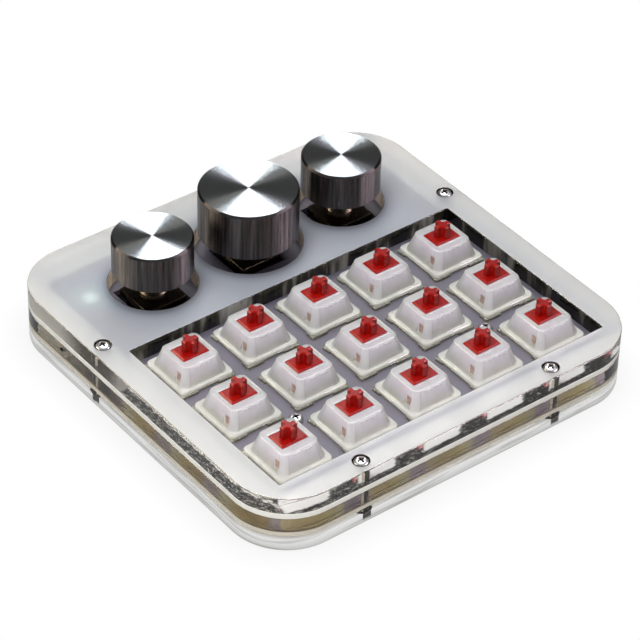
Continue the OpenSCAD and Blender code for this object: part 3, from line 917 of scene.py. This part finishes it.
def screw(z0, length):
    """Pan-head screw with a turned thread, underside of its head at z0."""
    profile = [(0, z0 - length)]
    pitch, depth = 0.4, 0.16
    for k in range(int(length / pitch)):
        z = z0 - length + k * pitch
        profile += [(1 - depth, z), (1.0, z + pitch / 2)]
    profile += [(1 - depth, z0 - 0.02), (1.66, z0), (1.8, z0 + 0.12), (1.8, z0 + 0.45)]
    top_z = z0 + 1.35
    for k in range(1, 7):
        a = math.radians(90 * k / 6)
        profile.append((0.9 + 0.9 * math.cos(a), z0 + 0.45 + 0.72 * math.sin(a)))
    profile += [(0.5, top_z - 0.09), (0.0, top_z - 0.05)]
    arm = [(0.32, 0.32), (0.32, 1.25), (-0.32, 1.25)]
    cross = []
    for _ in range(4):
        cross += arm
        arm = [(-y, x) for x, y in arm]
    recess = plate([[([(x * 0.45, y * 0.45) for x, y in cross], top_z - 0.85), (cross, top_z + 0.1)]])
    bm = combine(lathe(profile, 32), ("DIFFERENCE", recess))
    mark(bm, SCREW_LOOKS.index(RECESS_SHADE), lambda c, n: math.hypot(c.x, c.y) < 1.28 and z0 < c.z < top_z - 0.15
         and (abs(n.z) < 0.5 or c.z < top_z - 0.4))
    return mark(bm, SCREW_LOOKS.index(THREAD), lambda c, n: c.z < z0)


piece("case_screw_set", copies(screw(FACE_Z - SINK, 14), CASE_SCREWS), SCREW_LOOKS, "case",
      ["case_screws"])
flip = Matrix.Translation((0, 0, PLATE_Z + PCB_Z)) @ Matrix.Rotation(math.pi, 4, "X")
places = PLATE_SCREWS + [(x, y, flip) for x, y in PLATE_SCREWS]
piece("standoff_screw_set", copies(screw(PLATE_Z, 3), places), SCREW_LOOKS, "case",
      ["standoff_screws"])

# ---------- key switches ----------


def in_window(c, n):
    """Walls of a housing's two side windows, but for those that face the front."""
    return 13.41 < c.z < 15.2 and 5.6 < abs(c.x) < 6.6 and -4.6 < c.y < -2.6 and abs(n.z) < 0.2 and n.y > -0.5


def switch_roofs():
    """Hollow top housings: up the outer wall, over the rims and down the inner one."""
    looks = [MILKY, SLOT_SHADE, CRYSTAL]
    skin = [(14.7, 14.7, 1.05, FLANGE_Z), (15, 15, 1.2, 12.15), (15, 15, 1.2, 12.72),
            (14.72, 14.72, 1.05, 12.9), (13.5, 13.5, 2.4, 12.92), (13.1, 13.1, 2.3, 13.15)]
    for k in range(1, 6):
        t = k / 5
        skin.append((13.1 - 2.7 * t, 13.1 - 2.7 * t, 2.3 - 0.7 * t, 13.15 + 4.1 * t))
    skin += [(10.3, 10.3, 1.55, 17.46), (10.14, 10.14, 1.47, 17.57), (9.96, 9.96, 1.4, ROOF_Z),
             (9.7, 9.7, 1.3, ROOF_Z), (9.5, 9.5, 1.2, 17.48), (8.6, 6.7, 0.5, 17.48),
             (8.42, 6.52, 0.5, 17.66), (7.8, 5.9, 0.4, 17.66), (7.55, 5.65, 0.3, ROOF_Z),
             (7.55, 5.65, 0.3, CEILING_Z), (8.8, 8.8, 1.0, CEILING_Z), (11.4, 11.4, 1.6, 12.6),
             (11.4, 11.4, 1.6, FLANGE_Z)]
    steps = []
    for sx in (-1, 1):
        steps.append(("DIFFERENCE", bar(1.8, 1.9, 13.4, 16.0, 0.3, 0.1, sx * 6.55, -3.6)))
        steps.append(("UNION", bar(2.2, 0.5, 16.75, 17.25, 0.15, 0.1, sx * 1.5, -5.25)))
    bm = combine(loop_solid(skin), *steps)
    mark(bm, looks.index(SLOT_SHADE), in_window)
    mark(bm, looks.index(CRYSTAL), lambda c, n: c.z < 12.91)
    piece("switch_roofs", copies(bm, KEYS), looks, "case", ["switch_top_housings"])


def switch_bases():
    """Bottom housings: up the outer wall, over the flange, down the spring well and up its guide tube."""
    skin = [(13.7, 13.7, 0.5, 6.0), (13.9, 13.9, 0.6, 6.1), (13.9, 13.9, 0.6, 11.5), (14.6, 14.6, 0.8, 11.5),
            (14.75, 14.75, 0.85, 11.6), (14.75, 14.75, 0.85, 11.9), (14.6, 14.6, 0.8, FLANGE_Z),
            (11.2, 10.6, 0.8, FLANGE_Z, 0, 0.7), (11.0, 10.4, 0.7, 11.9, 0, 0.7),
            (11.0, 10.4, 0.7, 8.8, 0, 0.7), (5.5, 5.5, 2.7, 8.8), (5.4, 5.4, 2.69, 8.7),
            (5.4, 5.4, 2.69, SPRING_Z), (3.5, 3.5, 1.7, SPRING_Z), (3.3, 3.3, 1.64, 7.1),
            (3.3, 3.3, 1.64, 8.85)]
    steps = [("UNION", rod(1.95, 2.7, 7.3, 0.25))]
    for sx, sy in ((-1, -1), (-1, 1), (1, -1), (1, 1)):
        steps.append(("UNION", bar(5.0, 1.6, 11.02, 11.96, 0.55, 0.2, sx * 5.28, sy * 6.98)))
        steps.append(("UNION", bar(1.4, 2.9, 11.06, 11.93, 0.5, 0.15, sx * 6.95, sy * 6.3)))
    steps.append(("DIFFERENCE", rod(1.1, 4.1, 9.5, 0)))
    bm = combine(plate([[section(*s) for s in skin]]), *steps)
    piece("switch_bases", copies(bm, KEYS), [OLIVE], "case", ["switch_bottom_housings"])


def stem():
    """Slider, cross post and guide pin in one."""
    half = [(0.6, 0.95), (0.6, 2.0), (-0.6, 2.0), (-0.6, 0.95), (-0.9, 0.65), (-2.0, 0.65), (-2.0, -0.65),
            (-0.9, -0.65)]
    cross = half + [(-x, -y) for x, y in half]
    slider = plate([wall(rounded(7.3, 5.4, 0.25, n=3), SLIDER_Z, ROOF_Z - 0.02, 0.15, 0)
                    + [(rounded(6.6, 4.7, 0.2, n=3), ROOF_Z + 0.35)]])
    post = plate([[(cross, ROOF_Z - 0.5), (cross, 20.95), (shift(cross, 0.22), 21.2)]])
    shoulder = bar(8.2, 3, SLIDER_Z + 0.01, 16.3, 0.2, 0.1)
    return combine(slider, ("UNION", shoulder), ("UNION", post), ("UNION", rod(1, 9.2, 13.7, 0.2)))


def coil(turns, r, wire, z0, z1):
    """Coil spring of round wire; wire is half its thickness."""
    sides, per_turn = 8, 24
    bm = bmesh.new()
    n = turns * per_turn
    rings = []
    for i in range(n + 1):
        a = 2 * math.pi * i / per_turn
        z = z0 + wire + (z1 - z0 - 2 * wire) * i / n
        ring = []
        for k in range(sides):
            b = 2 * math.pi * k / sides
            q = r + wire * math.cos(b)
            ring.append(bm.verts.new((q * math.cos(a), q * math.sin(a), z + wire * math.sin(b))))
        rings.append(ring)
    for a, b in zip(rings, rings[1:]):
        bridge(bm, a, b)
    bm.faces.new(rings[0])
    bm.faces.new(rings[-1])
    bmesh.ops.recalc_face_normals(bm, faces=bm.faces)
    return bm


switch_roofs()
switch_bases()
stem_mesh = to_mesh(stem())
for i, (x, y) in enumerate(KEYS, 1):
    one = bmesh.new()
    one.from_mesh(stem_mesh)
    piece(f"key_stem_{i}", one, [RED], f"key_{i}", [f"stem_{i}"], at=(x, y))
    turns = coil(6, 2.08, 0.2, SPRING_Z + 0.02, SLIDER_Z - 0.04)
    spring = piece(f"key_spring_{i}", turns, [SPRING], "case", [f"spring_{i}"], at=(x, y),
                   flat=False)
    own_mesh(spring)

# ---------- knobs and encoders ----------


def dial(side, x, r, z0, z1):
    looks = [KNOB_SIDE, KNOB_TOP, KNOB_EDGE]
    profile = [(0, z1 - 3.2), (3.05, z1 - 3.2), (3.05, z0 + 0.3), (3.35, z0), (r - 0.4, z0),
               (r - 0.12, z0 + 0.12), (r, z0 + 0.4), (r, z1 - 0.5), (r - 0.08, z1 - 0.42),
               (r - 0.42, z1 - 0.08), (r - 0.5, z1), (0, z1)]
    bm = lathe(profile, 128)
    mark(bm, looks.index(KNOB_EDGE), lambda c, n: c.z > z1 - 0.49)
    mark(bm, looks.index(KNOB_TOP), lambda c, n: c.z > z1 - 0.01)
    piece(f"dial_{side}", bm, looks, f"dial_{side}", [f"knob_{side}"], at=(x, KNOB_Y))


def encoder_cans():
    """Dark covers with a tab down their left and right, and the threaded bushing in their middle."""
    steps = [("UNION", bar(0.4, 5, 6.0, 12.2, 0.15, 0.05, s * 6.09, 0)) for s in (-1, 1)]
    thread = [(0, 17.5), (3.3, 17.5)]
    for k in range(7):
        thread += [(3.45, 17.2 - 0.6 * k), (3.2, 16.9 - 0.6 * k)]
    thread += [(3.45, 12.7), (3.45, 12.0), (0, 12.0)]
    bore = [(0, 9), (2.75, 9), (2.75, 10.85), (3.08, 10.85), (3.08, 17.3), (3.26, 17.6), (0, 17.6)]
    steps += [("UNION", lathe(thread, 48)), ("DIFFERENCE", lathe(bore, 48))]
    bm = combine(bar(11.8, 11.8, 10.4, 12.5, 0.5, 0.25), *steps)
    piece("encoder_cans", copies(bm, [(x, KNOB_Y) for x in KNOB_X]), [COVER], "case",
          ["encoder_covers"])


for sizes in zip(SIDES, KNOB_X, KNOB_R, KNOB_Z0, KNOB_Z1):
    dial(*sizes)
encoder_cans()

# ---------- nodes that stay ----------

for name, mat in {
    "switch_plate": PLATE, "pcb": BOARD, "switch_contacts": BRASS, "hotswap_sockets": BLACK,
    "board_chips": BLACK, "status_led": LED, "usb_socket": SHELL, "case_nuts": THREAD, "standoffs": BRASS,
    "encoder_bodies": BLACK,
    "encoder_domes": SPRING, "encoder_rotor_left": ROTOR, "encoder_rotor_center": ROTOR,
    "encoder_rotor_right": ROTOR, "encoder_shaft_left": SHAFT, "encoder_shaft_center": SHAFT,
    "encoder_shaft_right": SHAFT,
}.items():
    slots = nodes[name].data.materials
    slots.clear()
    slots.append(mat)

# ---------- stage ----------


def path_mix(nt, plain, seen):
    """plain for light that bounces off rough surfaces, seen for what the camera, gloss and glass see."""
    ray = signal(nt, "ShaderNodeLightPath", "Is Camera Ray")
    for name in ("Is Glossy Ray", "Is Transmission Ray"):
        ray = math_node("MAXIMUM", ray, signal(nt, "ShaderNodeLightPath", name))
    return mix_shaders(ray, plain, seen)


def floor_white():
    """White floor, with a painted shadow that makes it a little greyer close to the case. A face that mirrors
    it straight to the camera shows it half as bright as the clear layers do."""
    mat = bpy.data.materials.new("floor_white")
    mat.use_nodes = True
    nt = mat.node_tree
    put(bsdf_of(mat), Base_Color=(0.86, 0.86, 0.86, 1), Roughness=0.9)
    # painted contact shadow, from ambient occlusion
    near = signal(nt, "ShaderNodeAmbientOcclusion", "AO", Distance=0.012)
    near.socket.node.samples = 16
    level = span_node(near, 0.0, 0.9, 0.8, 1.0)
    direct = math_node("LESS_THAN", signal(nt, "ShaderNodeLightPath", "Transmission Depth"), 0.5)
    mirrored = signal(nt, "ShaderNodeLightPath", "Is Glossy Ray") * direct
    glow = signal(nt, "ShaderNodeEmission", "Emission", Strength=level * (1 - mirrored * 0.5))
    put(nt.nodes["Material Output"], Surface=path_mix(nt, Signal(bsdf_of(mat).outputs["BSDF"]), glow))
    return mat


def studio():
    """World: dark low down and at the sides, pale overhead."""
    world = bpy.data.worlds.new("studio")
    world.use_nodes = True
    nt = world.node_tree
    height = parts_of(signal(nt, "ShaderNodeTexCoord", "Generated"))[2]
    shade = ramp_node(height, (0.0, (0.065, 0.055, 0.042)), (0.64, (0.055, 0.053, 0.05)),
                      (1.0, (0.8, 0.83, 0.88)))
    put(nt.nodes["Background"], Color=shade, Strength=1.0)
    return world


def lamp(name, at, aim, size, watts, color=WHITE, gloss=True):
    """A lamp seen in gloss only, or, where gloss is false, one that lights rough surfaces only."""
    data = bpy.data.lights.new(name, "AREA")
    data.shape = "RECTANGLE"
    data.size, data.size_y = size
    data.energy = watts
    data.color = color
    ob = bpy.data.objects.new(name, data)
    scene.collection.objects.link(ob)
    ob.location = at
    ob.rotation_euler = (Vector(aim) - Vector(at)).to_track_quat("-Z", "Y").to_euler()
    ob.visible_camera = False
    ob.visible_diffuse = not gloss
    ob.visible_glossy = gloss
    ob.visible_transmission = False


floor_bm = bmesh.new()
bmesh.ops.create_grid(floor_bm, x_segments=1, y_segments=1, size=6)
floor = bpy.data.objects.new("floor", to_mesh(floor_bm))
scene.collection.objects.link(floor)
floor.data.materials.append(floor_white())
scene.world = studio()

CASE_AT = (0, 0, 0.01)           # in metres
lamp("far", (0.146, 0.177, 0.394), (0, 0.01, 0), (0.215, 0.1), 1.2)
lamp("left", (-0.44, 0.29, 0.16), CASE_AT, (0.4, 0.2), 3.0, (1, 0.86, 0.64))
lamp("front", (0.38, -0.365, 0.16), CASE_AT, (0.4, 0.2), 3.8, (1, 0.82, 0.94))
lamp("fill", (-0.4, -0.4, 0.2), CASE_AT, (0.5, 0.3), 1.9, (1, 0.99, 0.97), gloss=False)
lamp("key", (-0.2, 0.0, 0.6), (-0.01, -0.02, 0.01), (0.3, 0.3), 2.0, gloss=False)

# the photo's camera, solved from the grid of the switches
camera = bpy.data.objects.new("camera", bpy.data.cameras.new("camera"))
scene.collection.objects.link(camera)
camera.data.lens = 172.92
camera.data.sensor_width = 36
camera.data.clip_start = 0.02
right = Vector((0.7925, -0.6094, 0.0239))
up = Vector((0.3653, 0.5058, 0.7815))
back = Vector((-0.4883, -0.6106, 0.6235))
turn = Matrix((right, up, back)).transposed()
camera.matrix_world = Matrix.Translation((-0.36259, -0.45247, 0.47226)) @ turn.to_4x4()
scene.camera = camera
scene.view_settings.view_transform = "Standard"
